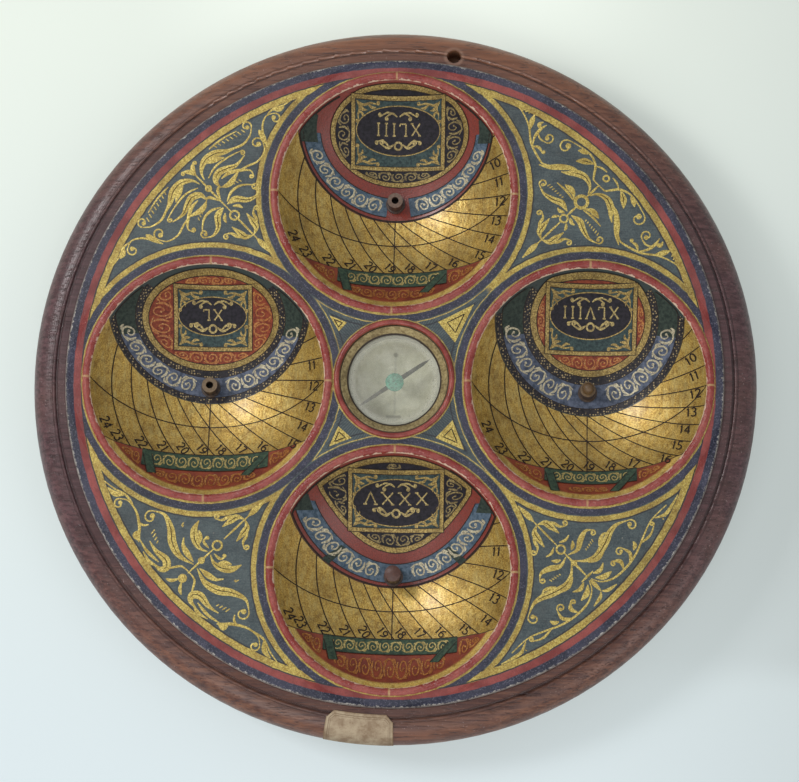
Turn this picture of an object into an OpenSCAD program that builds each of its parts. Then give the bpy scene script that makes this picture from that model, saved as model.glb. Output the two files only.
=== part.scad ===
// Scaphe sundial: a turned walnut tray whose painted face holds four gilt bowls,
// each a hollow dial for one latitude, round a small compass.
// The face looks up (+Z). The top bowl of the face lies towards +Y, and the
// origin is at the centre of the underside. The bowls are read with north towards -Y.

/* [Bowls] */
// Width of a bowl's gilt hollow at its mouth
mouth_d = 71.3; // [60:0.1:80]
// Depth of the hollow below the painted face
bowl_depth = 16.7; // [13:0.1:22]
// Thickness of the gilt gesso lining
lining_t = 0.8; // [0.5:0.1:1.4]
// Wood left round the lining at the mouth of a turned cup
cup_edge = 0.95; // [0.7:0.05:2]
// Wood left under the lining at the bottom of a cup
cup_floor = 2.5; // [1.5:0.1:5]
// How far the raised red lip laps over the painted face
lip_lap = 0.7; // [0.3:0.05:1]
// Height of the raised red lip
lip_h = 0.9; // [0.5:0.05:1.2]

/* [Hour lines] */
// Latitude of the bowl towards +Y, in degrees
lat_top = 43; // [30:1:55]
// Latitude of the bowl towards -X, in degrees
lat_left = 40; // [30:1:55]
// Latitude of the bowl towards +X, in degrees
lat_right = 48; // [30:1:55]
// Latitude of the bowl towards -Y, in degrees
lat_bottom = 35; // [30:1:55]
// Width of a scribed line
line_w = 0.3; // [0.2:0.05:0.6]
// Depth of a scribed line in the gilt lining
line_depth = 0.2; // [0.1:0.05:0.3]

/* [Gnomons] */
// Width of the turned foot that stands in each bowl
foot_d = 4.7; // [4:0.1:7]
// Height of that foot above the bottom of the hollow
foot_h = 6.2; // [4:0.1:9]
// Width of the socket in the foot
socket_d = 2.2; // [1.2:0.1:2.8]
// Depth of the socket
socket_depth = 5; // [2:0.1:8]
// Width of the round knob on the right bowl's pin
knob_d = 3.7; // [3:0.1:6]
// Width of the flat button on the bottom bowl's pin
button_d = 4.9; // [3.4:0.1:7]
// Length of bare pin between the foot and the button
button_neck = 1.8; // [0.6:0.1:3]

/* [Face] */
// Painted space between a bowl's lip and the red ring of the compass
lip_gap = 1.3; // [1.3:0.05:5]
// Painted border between a bowl's lip and the edge of the face
border_w = 3.95; // [2:0.05:8]
// Thickness of the painted panel
panel_t = 3; // [2:0.1:5]
// Worn slope round the panel's edge
panel_bevel = 0.5; // [0.2:0.05:0.9]

/* [Tray] */
// Wood under the bowls
tray_floor = 4; // [3:0.1:8]
// Width of the moulded rim outside the panel
rim_w = 10.3; // [8.4:0.1:12]
// Width of the flat ledge next to the panel
ledge_w = 2.3; // [1.5:0.1:3]
// How far the ledge lies below the painted face
ledge_drop = 1; // [0.5:0.05:1.4]
// Radius of the small bead between the ledge and the large round
bead_r = 0.65; // [0.4:0.05:0.9]
// How far the crown of the large round lies below the ledge
round_drop = 1; // [0.5:0.05:1.6]
// How far the foot stands in from the widest part of the rim
foot_in = 6; // [4:0.1:9]
// Radius of the rounded lower edge of the foot
foot_round = 2; // [1:0.1:3]
// Width of the peg hole in the rim
peg_hole_d = 4.4; // [2:0.1:4.8]
// Depth of the peg hole below the ledge
peg_hole_depth = 9; // [5:0.1:12]

/* [Compass] */
// Length of the compass needle
needle_l = 26.6; // [18:0.1:34]
// Width of the needle at its middle
needle_w = 1.5; // [1:0.1:2.4]
// Thickness of the needle
needle_t = 0.6; // [0.3:0.05:1]
// Room round the ends of the needle
needle_room = 1.5; // [1:0.1:4]
// Width of the ledge that the glass lies on
seat_w = 1.85; // [1.4:0.05:3]
// Thickness of the glass
glass_t = 1.2; // [0.8:0.1:2]
// How far the gilt ring reaches inwards over the well
ring_lap = 0.85; // [0.2:0.05:0.9]
// Height of the gilt ring
ring_h = 2.1; // [1.2:0.1:3]
// How far the gilt ring lies below the painted face
ring_sunk = 0.3; // [0:0.05:0.8]
// Wall of the compass cup
compass_wall = 0.85; // [0.6:0.05:2]
// Floor of the compass cup
compass_floor = 1.2; // [0.8:0.1:2]
// Depth of the well from the glass to its floor
well_depth = 8.4; // [6:0.1:11]
// How far the raised red ring laps over the painted face
bezel_lap = 0.85; // [0.3:0.05:1.5]
// Height of the raised red ring
bezel_h = 1; // [0.5:0.05:1.2]
// Thickness of the compass card
card_t = 0.5; // [0.3:0.05:1]
// Width of the needle's cap
cap_d = 5.6; // [4:0.1:8]
// Room between the cap and the glass
cap_room = 1.1; // [0.5:0.05:2]
// Width of the pivot pin
pivot_d = 1.2; // [0.8:0.05:1.5]
// Direction in which the needle rests, in degrees from +X
needle_angle = 35; // [0:1:359]

/* [Label] */
// Width of the blank paper label
label_w = 21.3; // [12:0.1:30]
// Thickness of the paper
label_t = 0.25; // [0.15:0.05:0.4]
// How far round the rim the label is turned down, in degrees
label_wrap = 88; // [60:1:110]
// How far the label's upper corners are cut off
label_cut = 2.2; // [0.5:0.1:4]

/* [Hidden] */
$fn = 96;

// Clearance of a glued seat, of a pin in its socket, and of paper on wood
seat_fit = 0.05;
pin_fit = 0.04;
paper_fit = 0.03;
// Overlap of a cutting solid past the face that it cuts
over = 1;

// Each hollow is a shallow cap of a sphere, whose gnomon point, the nodus, is the
// centre of the mouth.
mouth_r = mouth_d / 2;
cap_r = (mouth_r * mouth_r + bowl_depth * bowl_depth) / (2 * bowl_depth);
lining_r = cap_r + lining_t;
lining_mouth_r = sqrt(lining_r * lining_r - pow(cap_r - bowl_depth, 2));
cup_r = lining_mouth_r + cup_edge;
lip_r = cup_r + lip_lap;

// Heights, from the underside upwards
cup_z = tray_floor;
hollow_z = cup_z + cup_floor + lining_t;
face_z = hollow_z + bowl_depth;
panel_z = face_z - panel_t;
ledge_z = face_z - ledge_drop;

// The compass, from the needle outwards
well_r = needle_l / 2 + needle_room;
seat_r = well_r + seat_w;
compass_r = seat_r + compass_wall;
bezel_in = seat_r + seat_fit;
bezel_out = compass_r + bezel_lap;
glass_z = face_z - ring_sunk - ring_h - glass_t;
well_z = glass_z - well_depth;
compass_z = well_z - compass_floor;
card_z = well_z + card_t;

// Places on the face
bowl_at = bezel_out + lip_gap + lip_r;
panel_r = bowl_at + lip_r + border_w;
recess_r = panel_r + seat_fit;
rim_r = recess_r + rim_w;

// Which way each bowl lies, and how far its maker set it from its true place
TOP = 0;
LEFT = 1;
RIGHT = 2;
BOTTOM = 3;
toward = [[0, 1], [-1, 0], [1, 0], [0, -1]];
slip = [[-1.3, 0.2], [1, -1], [1.2, -0.3], [0.7, -0.6]];
latitude = [lat_top, lat_left, lat_right, lat_bottom];

// The rim's mouldings, from the panel outwards
groove_r = 0.35;
bead_at = recess_r + ledge_w + 2 * groove_r + bead_r;
round_r = rim_r - bead_at - bead_r / 2;
round_z = ledge_z - round_drop - round_r;
bead_z = round_z + round_r - bead_r / 3;
foot_r = rim_r - foot_in;
ledge_end = recess_r + ledge_w;
peg_at = ledge_end + 2 * groove_r;
peg_angle = 81;

// Sun's greatest declination, and the Italian hours, counted on from sunset to sunset
obliquity = 23.44;
last_hour = 23;
hour_turn = 15;
reach = 2 * cap_r;

// Gnomon pieces
foot_shoulder = 0.8;
foot_flare = 0.6;
tenon_r = foot_d / 2 - foot_shoulder;
foot_top_z = hollow_z + foot_h;
pin_r = socket_d / 2 - pin_fit;
button_h = 1.7;
knob_flat = 0.5;

// Needle and its bearing, from the glass downwards
cap_dome = 1.5;
cap_stem_r = 1.35;
cap_stem_h = 0.5;
eye_w = 0.8;
arrow_l = 3;
needle_z = glass_z - cap_room - cap_dome - needle_t;
point_rise = 0.4;
point_z = needle_z + needle_t + point_rise;
point_h = 1.2;
point_r = 0.1;
pivot_r = pivot_d / 2;
collar_w = 0.9;
collar_h = 0.5;

// The label lies on the ledge, runs straight over the groove, and goes round the large
// round. A straight stretch meets each round that it touches at one angle from upright.
// A high bead lifts the paper, which then bends over it too.
label_lap = 0.4;
label_start = ledge_end - label_lap;
label_at = -94.4;
label_step = 8;
least_bend = 2;
edge_to_bead = [bead_at - ledge_end, ledge_z - bead_z];
edge_to_round = [rim_r - round_r - ledge_end, ledge_z - round_z];
bead_to_round = edge_to_round - edge_to_bead;
bead_from = acos(bead_r / norm(edge_to_bead)) - lean(edge_to_bead);
bead_to = acos((round_r - bead_r) / norm(bead_to_round)) - lean(bead_to_round);
over_bead = bead_to - bead_from > least_bend;
round_from = over_bead ? bead_to : acos(round_r / norm(edge_to_round)) - lean(edge_to_round);

function lean(v) = atan(v[0] / v[1]);
function place(i) = toward[i] * bowl_at + slip[i];

// Half-round moulding on a flat face, from radius a to radius b, h high
module crown_ring(a, b, h) {
  half = (b - a) / 2;
  r = (half * half + h * h) / (2 * h);
  rotate_extrude()
    translate([a + half, 0])
      intersection() {
        translate([0, h - r]) circle(r);
        translate([-half, 0]) square([2 * half, h + over]);
      }
}

module at_bowl(i) {
  translate([place(i)[0], place(i)[1], 0]) children();
}

// Solid of revolution of the rim: foot, large round, bead and ledge
module rim_profile() {
  square([foot_r - foot_round, foot_round]);
  translate([0, foot_round]) square([foot_r, round_z - foot_round]);
  translate([foot_r - foot_round, foot_round]) circle(foot_round);
  translate([rim_r - round_r, round_z]) circle(round_r);
  translate([0, round_z]) square([rim_r - round_r, round_r]);
  translate([bead_at, bead_z]) circle(bead_r);
  difference() {
    square([ledge_end + groove_r, ledge_z]);
    translate([ledge_end + groove_r, ledge_z]) circle(groove_r);
  }
}

module turned_tray() {
  color([0.36, 0.21, 0.15])
    difference() {
      rotate_extrude() rim_profile();
      translate([0, 0, panel_z]) cylinder(r = recess_r, h = panel_t + over);
      for (i = [TOP : BOTTOM])
        at_bowl(i) translate([0, 0, cup_z]) cylinder(r = cup_r + seat_fit, h = face_z);
      translate([0, 0, compass_z]) cylinder(r = compass_r + seat_fit, h = face_z);
      rotate(peg_angle)
        translate([peg_at, 0, ledge_z - peg_hole_depth])
          cylinder(d = peg_hole_d, h = peg_hole_depth + over);
    }
}

module painted_panel() {
  color([0.30, 0.37, 0.38])
    difference() {
      translate([0, 0, panel_z])
        union() {
          cylinder(r = panel_r, h = panel_t - panel_bevel);
          translate([0, 0, panel_t - panel_bevel])
            cylinder(r1 = panel_r, r2 = panel_r - panel_bevel, h = panel_bevel);
        }
      for (i = [TOP : BOTTOM])
        at_bowl(i) translate([0, 0, panel_z - over]) cylinder(r = cup_r + seat_fit, h = panel_t + 2 * over);
      translate([0, 0, panel_z - over]) cylinder(r = compass_r + seat_fit, h = panel_t + 2 * over);
    }
}

// A turned cup with its raised lip, which laps over the panel
module bowl_cup(i) {
  color([0.62, 0.25, 0.24])
    at_bowl(i) {
      difference() {
        translate([0, 0, cup_z]) cylinder(r = cup_r, h = face_z - cup_z);
        translate([0, 0, hollow_z + cap_r]) sphere(lining_r);
        translate([0, 0, cup_z - over]) cylinder(r = tenon_r + seat_fit, h = cup_floor + lining_t + over);
      }
      translate([0, 0, face_z]) crown_ring(mouth_r, lip_r, lip_h);
    }
}

// All directions between the two tropics, as a solid wedge round the pole's axis
module tropic_zone() {
  rotate_extrude()
    polygon([
      [0, 0],
      [reach * cos(obliquity), -reach * sin(obliquity)],
      [reach * cos(obliquity), reach * sin(obliquity)]
    ]);
}

// The feature that takes the most skill: the net of Italian hours. The sun that will
// set in so many hours lies on the horizon's plane turned back about the pole's axis,
// so each hour line is where that plane, through the nodus, meets the hollow.
module hour_plane(lat, hour) {
  rotate([0, 0, (last_hour + 1 - hour) * hour_turn])
    rotate([lat - 90, 0, 0])
      translate([-reach, -reach, -line_w / 2])
        cube([reach, 2 * reach, line_w]);
}

// Thin shell in which the lines are cut
module line_shell() {
  translate([0, 0, cap_r - bowl_depth])
    difference() {
      sphere(cap_r + line_depth);
      sphere(cap_r - over);
    }
}

// First full hour that finds the sun up at midsummer
function first_up(lat) = ceil(last_hour + 1 - 2 * acos(-tan(lat) * tan(obliquity)) / hour_turn);

module hour_net(lat) {
  for (hour = [first_up(lat) : last_hour])
    intersection() {
      line_shell();
      rotate([90 - lat, 0, 0]) intersection() {
        hour_plane(lat, hour);
        tropic_zone();
      }
    }
  // Noon, and the equator, which the sun follows on the equinoxes
  intersection() {
    line_shell();
    rotate([90 - lat, 0, 0]) intersection() {
      translate([-line_w / 2, -reach, -reach]) cube([line_w, 2 * reach, 2 * reach]);
      tropic_zone();
    }
  }
  intersection() {
    line_shell();
    rotate([90 - lat, 0, 0])
      translate([-reach, -reach, -line_w / 2]) cube([2 * reach, 2 * reach, line_w]);
  }
}

module gilt_lining(i) {
  color([0.80, 0.62, 0.24])
    at_bowl(i)
      translate([0, 0, face_z])
        difference() {
          intersection() {
            translate([0, 0, cap_r - bowl_depth]) sphere(lining_r);
            translate([0, 0, -bowl_depth - 2 * lining_t]) cylinder(r = cup_r, h = bowl_depth + 2 * lining_t);
          }
          translate([0, 0, cap_r - bowl_depth]) sphere(cap_r);
          translate([0, 0, -bowl_depth - 2 * lining_t]) cylinder(r = tenon_r + seat_fit, h = 4 * lining_t);
          hour_net(latitude[i]);
        }
}

// A turned foot, cut to the curve of the hollow and tenoned through the cup
module gnomon_foot(i) {
  color([0.33, 0.22, 0.15])
    at_bowl(i)
      difference() {
        union() {
          intersection() {
            union() {
              translate([0, 0, cup_z]) cylinder(d = foot_d, h = foot_top_z - cup_z);
              translate([0, 0, hollow_z - over]) cylinder(r = foot_d / 2 + foot_flare, h = 2 * over);
            }
            translate([0, 0, hollow_z + cap_r]) sphere(cap_r);
          }
          translate([0, 0, cup_z]) cylinder(r = tenon_r, h = foot_top_z - cup_z);
        }
        translate([0, 0, foot_top_z - socket_depth]) cylinder(d = socket_d, h = socket_depth + over);
      }
}

module pin_shank(h) {
  translate([0, 0, foot_top_z - socket_depth]) cylinder(r = pin_r, h = h);
}

module gnomon_pin_right() {
  knob_r = knob_d / 2;
  color([0.50, 0.38, 0.26])
    at_bowl(RIGHT) {
      pin_shank(socket_depth + knob_r);
      intersection() {
        translate([0, 0, foot_top_z + knob_r - knob_flat]) sphere(knob_r);
        translate([0, 0, foot_top_z]) cylinder(r = knob_r + over, h = knob_d + over);
      }
    }
}

module gnomon_pin_bottom() {
  color([0.42, 0.24, 0.19])
    at_bowl(BOTTOM) {
      pin_shank(socket_depth + button_neck + button_h / 2);
      translate([0, 0, foot_top_z + button_neck])
        intersection() {
          cylinder(d = button_d, h = button_h);
          translate([0, 0, button_h - button_d]) sphere(button_d);
        }
    }
}

module compass_cup() {
  color([0.72, 0.58, 0.30])
    difference() {
      translate([0, 0, compass_z]) cylinder(r = compass_r, h = face_z - compass_z);
      translate([0, 0, well_z]) cylinder(r = well_r, h = face_z);
      translate([0, 0, glass_z]) cylinder(r = seat_r, h = face_z);
      translate([0, 0, compass_z + compass_floor / 2]) cylinder(r = pivot_r + pin_fit, h = compass_floor);
    }
}

module compass_card() {
  color([0.80, 0.80, 0.72])
    difference() {
      translate([0, 0, well_z]) cylinder(r = well_r - seat_fit, h = card_t);
      translate([0, 0, well_z - over]) cylinder(r = pivot_r + pin_fit, h = card_t + 2 * over);
    }
}

// Pin driven through the card into the floor, with a collar and a fine point
module pivot_pin() {
  low_z = compass_z + compass_floor / 2;
  color([0.75, 0.60, 0.30]) {
    translate([0, 0, low_z]) cylinder(r = pivot_r, h = point_z - point_h - low_z);
    translate([0, 0, card_z]) cylinder(r = pivot_r + collar_w, h = collar_h);
    translate([0, 0, point_z - point_h]) cylinder(r1 = pivot_r, r2 = point_r, h = point_h);
  }
}

// Long tapering bar with a round eye for the cap
module compass_needle() {
  half = needle_l / 2;
  color([0.20, 0.22, 0.25])
    rotate(needle_angle)
      translate([0, 0, needle_z])
        linear_extrude(needle_t)
          difference() {
            union() {
              polygon([
                [-half, -needle_w / 6], [0, -needle_w / 2], [half - arrow_l, -needle_w / 3],
                [half, 0], [half - arrow_l, needle_w / 3], [0, needle_w / 2], [-half, needle_w / 6]
              ]);
              circle(cap_stem_r + eye_w);
            }
            circle(cap_stem_r + pin_fit);
          }
}

// The cap stands on the pivot's point, in a cone a little wider than the point's own
module needle_cap() {
  color([0.40, 0.66, 0.62])
    difference() {
      union() {
        translate([0, 0, needle_z - cap_stem_h]) cylinder(r = cap_stem_r, h = needle_t + cap_stem_h);
        translate([0, 0, needle_z + needle_t])
          intersection() {
            cylinder(d = cap_d, h = cap_dome);
            translate([0, 0, cap_dome - cap_d]) sphere(cap_d);
          }
      }
      translate([0, 0, point_z - point_h])
        cylinder(r1 = pivot_r + pin_fit, r2 = point_r + pin_fit, h = point_h + pin_fit);
      translate([0, 0, needle_z - cap_stem_h - over])
        cylinder(r = pivot_r + pin_fit, h = point_z - point_h - needle_z + cap_stem_h + over);
    }
}

module compass_glass() {
  color([0.86, 0.90, 0.88, 0.4])
    translate([0, 0, glass_z]) cylinder(r = seat_r - seat_fit, h = glass_t);
}

// Gilt ring that holds the glass down, dished towards the well
module glass_ring() {
  inner = well_r - ring_lap;
  outer = seat_r - seat_fit;
  edge = ring_h / 4;
  color([0.74, 0.60, 0.30])
    translate([0, 0, glass_z + glass_t])
      rotate_extrude()
        polygon([[inner, 0], [outer, 0], [outer, ring_h], [outer - edge, ring_h], [inner, edge]]);
}

module compass_bezel() {
  color([0.62, 0.20, 0.18])
    translate([0, 0, face_z]) crown_ring(bezel_in, bezel_out, bezel_h);
}

// Points of the label's underside, raised by h, from the ledge outwards and down
function label_side(h) = concat(
  [[label_start, ledge_z + h], [ledge_end, ledge_z + h]],
  [for (a = over_bead ? [bead_from, bead_to] : [])
    [bead_at, bead_z] + (bead_r + h) * [sin(a), cos(a)]],
  [for (a = [round_from : label_step : label_wrap])
    [rim_r - round_r, round_z] + (round_r + h) * [sin(a), cos(a)]]
);

// Reverse of a list of points
function back(points) = [for (i = [len(points) - 1 : -1 : 0]) points[i]];

// Blank label pasted over the rim, with its upper corners cut off
module paper_label() {
  turn = 2 * asin(label_w / 2 / rim_r);
  corner = label_start * sin(turn / 2);
  color([0.80, 0.72, 0.56])
    rotate(label_at)
      difference() {
        rotate(-turn / 2)
          rotate_extrude(angle = turn)
            polygon(concat(label_side(paper_fit), back(label_side(paper_fit + label_t))));
        for (side = [-1, 1])
          translate([label_start * cos(turn / 2), side * corner, ledge_z - over])
            rotate(45) cube([label_cut * sqrt(2), label_cut * sqrt(2), 4 * over], center = true);
      }
}

turned_tray();
painted_panel();
bowl_cup(TOP);  // bowl_cup_top
bowl_cup(LEFT);  // bowl_cup_left
bowl_cup(RIGHT);  // bowl_cup_right
bowl_cup(BOTTOM);  // bowl_cup_bottom
gilt_lining(TOP);  // gilt_lining_top
gilt_lining(LEFT);  // gilt_lining_left
gilt_lining(RIGHT);  // gilt_lining_right
gilt_lining(BOTTOM);  // gilt_lining_bottom
gnomon_foot(TOP);  // gnomon_foot_top
gnomon_foot(LEFT);  // gnomon_foot_left
gnomon_foot(RIGHT);  // gnomon_foot_right
gnomon_foot(BOTTOM);  // gnomon_foot_bottom
gnomon_pin_right();
gnomon_pin_bottom();
compass_cup();
compass_card();
pivot_pin();
compass_needle();
needle_cap();
compass_glass();
glass_ring();
compass_bezel();
paper_label();
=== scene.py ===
import bisect
import math
from collections import namedtuple

import bmesh
import bpy
from mathutils import Matrix, Vector


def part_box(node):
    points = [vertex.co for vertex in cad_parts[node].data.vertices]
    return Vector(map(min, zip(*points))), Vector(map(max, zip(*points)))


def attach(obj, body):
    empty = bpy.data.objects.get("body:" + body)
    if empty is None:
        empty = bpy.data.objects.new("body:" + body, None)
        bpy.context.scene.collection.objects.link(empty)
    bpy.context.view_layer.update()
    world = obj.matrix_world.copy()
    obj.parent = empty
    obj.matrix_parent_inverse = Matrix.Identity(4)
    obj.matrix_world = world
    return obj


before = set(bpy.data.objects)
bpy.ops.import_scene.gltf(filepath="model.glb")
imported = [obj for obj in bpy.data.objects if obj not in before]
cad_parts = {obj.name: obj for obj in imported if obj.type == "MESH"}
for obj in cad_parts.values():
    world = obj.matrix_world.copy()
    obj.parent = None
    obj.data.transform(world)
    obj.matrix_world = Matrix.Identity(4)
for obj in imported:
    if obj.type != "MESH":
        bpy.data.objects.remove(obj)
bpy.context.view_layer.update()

# Sizes of the CAD part, in millimetres
MM = 0.001
FACE_Z = 24.0
MOUTH_R = 35.65
DEPTH = 16.7
CAP_R = (MOUTH_R ** 2 + DEPTH ** 2) / (2 * DEPTH)
RIM_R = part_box("turned_tray")[1].y / MM
PEG_HOLE = (16.16, 102.05)
PEG_HOLE_R = 2.2
LABEL_ANGLE = -94.4
LABEL_WIDTH = 21.3
LABEL_START = 102.2

# Radii round a bowl's axis where its cartouche, zones, inked net and winter scrolls end
CARTOUCHE_END = 34.7
ZONE_END = 35.0
NET_END = 34.9
SCROLLS_END = 33.9

# Heights of painted layers above the face and above the gilding of a bowl: the inked net,
# grounds and ribbons, the cartouche's frame and oval, and its numeral
FACE_LIFT = 0.02
NET_LIFT = 0.07
GROUND_LIFT = 0.10
FRAME_LIFT = 0.24
NUMERAL_LIFT = 0.29

# The photograph's width and focal length in pixels, and the sensor's width in millimetres
PHOTO_WIDTH = 799
FOCAL_LENGTH = 3605
SENSOR = 36.0

OBLIQUITY = 23.44
LATITUDES = {"top": 43, "left": 40, "right": 48, "bottom": 35}


def bowl_centre(name):
    low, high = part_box("bowl_cup_" + name)
    return (low.x + high.x) / 2 / MM, (low.y + high.y) / 2 / MM


CENTRES = {name: bowl_centre(name) for name in LATITUDES}


def sine(degrees):
    return math.sin(math.radians(degrees))


def cosine(degrees):
    return math.cos(math.radians(degrees))


# Materials


def rgb(red, green, blue):
    """Linear colour of an sRGB colour given from 0 to 255."""
    linear = []
    for value in (red, green, blue):
        value /= 255
        linear.append(value / 12.92 if value < 0.04045 else ((value + 0.055) / 1.055) ** 2.4)
    return (*linear, 1.0)


def operation(name):
    """A method that works out a further value with one Math node."""
    return lambda value, *others: value.shader.math(name, value, *others)


class Value:
    """A number or colour that a node graph works out."""

    __add__ = operation("ADD")
    __sub__ = operation("SUBTRACT")
    __mul__ = operation("MULTIPLY")
    __truediv__ = operation("DIVIDE")
    __abs__ = operation("ABSOLUTE")
    either = operation("MAXIMUM")
    least = operation("MINIMUM")

    def __init__(self, shader, socket):
        self.shader = shader
        self.socket = socket

    def __rsub__(self, other):
        return self.shader.math("SUBTRACT", other, self)

    def rise(self, low, high, bottom=0, top=1):
        """Goes smoothly from bottom to top while the value goes from low to high."""
        inputs = (self, low, high, bottom, top)
        return self.shader.node("MapRange", inputs, interpolation_type="SMOOTHSTEP")

    def fall(self, low, high, top=1):
        return self.rise(low, high, top, 0)

    def band(self, low, high, soft=0.12):
        """One between low and high, and nought outside."""
        return self.rise(low - soft, low + soft) * self.fall(high - soft, high + soft)


class Shader:
    """The node graph of one material. Places are in millimetres of the row frame, and
    a plain colour is its sRGB red, green and blue from 0 to 255."""

    def __init__(self, name):
        self.material = bpy.data.materials.new(name)
        self.material.use_nodes = True
        self.tree = self.material.node_tree
        self.surface = self.tree.nodes["Principled BSDF"]
        self.colour = None
        coordinates = self.node("TexCoord", (), "Object")
        self.place = self.node("VectorMath", {0: coordinates, "Scale": 1 / MM}, operation="SCALE")
        axes = self.node("SeparateXYZ", (self.place,)).socket.node.outputs
        self.x, self.y, self.z = (Value(self, axis) for axis in axes)

    def feed(self, socket, value):
        """Links a socket to a worked out value, or sets it to a constant."""
        if isinstance(value, Value):
            self.tree.links.new(value.socket, socket)
        else:
            socket.default_value = value

    def node(self, kind, inputs, output=0, **settings):
        """An output of a new node, whose inputs are given by place or by name."""
        node = self.tree.nodes.new("ShaderNode" + kind)
        for name, value in settings.items():
            setattr(node, name, value)
        for key, value in inputs.items() if isinstance(inputs, dict) else enumerate(inputs):
            self.feed(node.inputs[key], value)
        return Value(self, node.outputs[output])

    def math(self, operation, *inputs):
        return self.node("Math", inputs, operation=operation)

    def vector(self, operation, *inputs):
        output = "Value" if operation in ("LENGTH", "DOT_PRODUCT") else 0
        return self.node("VectorMath", inputs, output, operation=operation)

    def join(self, x, y, z=0):
        return self.node("CombineXYZ", (x, y, z))

    def away(self, x, y):
        """Distance in plan from a point."""
        return self.vector("LENGTH", self.join(self.x - x, self.y - y))

    def noise(self, size, detail=3, rough=0.55, shift=0, stretch=(1, 1, 1), place=None):
        """Noise whose spots are about size millimetres wide."""
        scaled = self.vector("MULTIPLY", place or self.place, [1 / s for s in stretch])
        moved = self.vector("ADD", scaled, (shift, shift * 1.7, shift * 0.6))
        inputs = {"Vector": moved, "Scale": 1 / size, "Detail": detail, "Roughness": rough}
        return self.node("TexNoise", inputs)

    def mix(self, share, first, second):
        """From the first colour to the second as the share goes from nought to one."""
        first, second = (rgb(*c) if isinstance(c, tuple) else c for c in (first, second))
        return self.node("Mix", {0: share, 6: first, 7: second}, 2, data_type="RGBA")

    def tones(self, value, low, high, first, second):
        return self.mix(value.rise(low, high), first, second)

    def lay(self, share, *tone):
        """Lays one more tone over the colour, where the share is above nought."""
        self.colour = self.mix(share, self.colour, tone[0] if len(tone) == 1 else tone)

    def finish(self, rough, metal=0, bump=None, depth=0.05, specular=0.5):
        """Wires up the surface, with the bump's height in millimetres."""
        inputs = {"Base Color": self.colour, "Roughness": rough, "Metallic": metal,
                  "Specular IOR Level": specular}
        if bump is not None:
            inputs["Normal"] = self.node("Bump", {"Distance": depth * MM, "Height": bump})
        for name, value in inputs.items():
            self.feed(self.surface.inputs[name], value)
        return self.material


def walnut():
    """Turned walnut whose grain runs from left to right, dark on the end grain."""
    s = Shader("walnut")
    radius = s.away(0, 0)
    grain = s.noise(1.1, 4, 0.62, 0, (26, 1, 1))
    streak = s.noise(3.4, 3, 0.6, 5, (14, 1, 1))
    patch = s.noise(24, 3, 0.6, 9)
    pores = s.noise(0.42, 2, 0.5, 3, (14, 1, 1)).rise(0.56, 0.70)
    turning = s.noise(0.5, 2, 0.6, place=s.join(radius, s.z))
    end = abs(s.y / radius).rise(0.35, 0.95)
    lined = grain.rise(0.32, 0.68)
    plain = s.mix(lined, (62, 38, 41), (100, 70, 72))
    warm = s.mix(lined, (80, 45, 31), (134, 88, 60))
    # Painted light: the top side of the rim is lighter and warmer
    back = s.y.rise(20, 90) * abs(s.x).rise(40, 90, 1, 0.3)
    warm = s.mix(back * 0.5, warm, (176, 118, 82))
    s.colour = s.mix(end * 0.8, plain, warm)
    s.lay(streak.rise(0.45, 0.75, 0, 0.55), 58, 38, 36)
    s.lay(patch.rise(0.42, 0.68, 0, 0.35), 104, 68, 56)
    s.lay(pores * 0.65, 42, 24, 22)
    # Painted shade on the ledge, in the groove and under the bead, and darker on the slope outside the
    # ledge
    s.lay(radius.band(99, 103.4, 0.3) * 0.5, 56, 34, 34)
    s.lay(radius.band(103.4, 107, 1.2) * s.z.rise(16, 19) * 0.3, 52, 30, 28)
    s.lay(radius.band(102.62, 103.3) * s.z.rise(20, 21) * 0.35, 34, 20, 20)
    s.lay(radius.band(104.1, 104.75, 0.2) * 0.2, 40, 24, 22)
    # Painted highlights: pale specks in the grain stand in for its sparkle
    painted_sparkle_specks = s.noise(0.5, 2, 0.5, 21).rise(0.64, 0.74) * patch.rise(0.4, 0.6, 0.2, 1)
    s.lay(painted_sparkle_specks * 0.45, 170, 150, 146)
    # A lighter ring round the peg hole, painted shade round its mouth and down its wall, and painted
    # light on its bottom
    upper = s.z.rise(12.4, 13.4)
    hole = s.away(*PEG_HOLE)
    edge = hole + patch * 0.8
    s.lay(edge.band(2.5, 3.6, 0.4) * upper * 0.4, 150, 118, 98)
    s.lay(edge.fall(2.5, 3, 0.7) * upper, 60, 36, 28)
    s.lay(hole.fall(PEG_HOLE_R - 0.05, PEG_HOLE_R + 0.05) * upper, 176, 128, 98)
    height = turning * 0.7 + grain * 0.6
    return s.finish(patch.rise(0.3, 0.7, 0.30, 0.46), 0, height - pores, 0.09)


def nearest_bowl(s):
    """Distance in plan from the nearest bowl's centre."""
    nearest, *others = [s.away(*centre) for centre in CENTRES.values()]
    for distance in others:
        nearest = nearest.least(distance)
    return nearest


def gold_tone(s, shift):
    """Old gold leaf, from worn brown to bright, with small painted highlights."""
    leaf = s.noise(0.55, 4, 0.7, shift)
    cloud = s.noise(6, 3, 0.55, shift + 3)
    tone = s.tones(leaf, 0.34, 0.66, (140, 114, 48), (202, 180, 96))
    tone = s.mix(cloud.rise(0.35, 0.7, 0, 0.6), tone, (132, 104, 50))
    tone = s.mix(s.noise(0.8, 4, 0.7, shift + 9).rise(0.62, 0.72) * 0.65, tone, (78, 64, 50))
    # Painted highlights: pale specks that stand in for the leaf's sparkle
    glints = s.noise(0.36, 2, 0.5, shift + 27).rise(0.60, 0.70)
    return s.mix(glints * 0.6, tone, (238, 224, 164)), leaf


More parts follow.
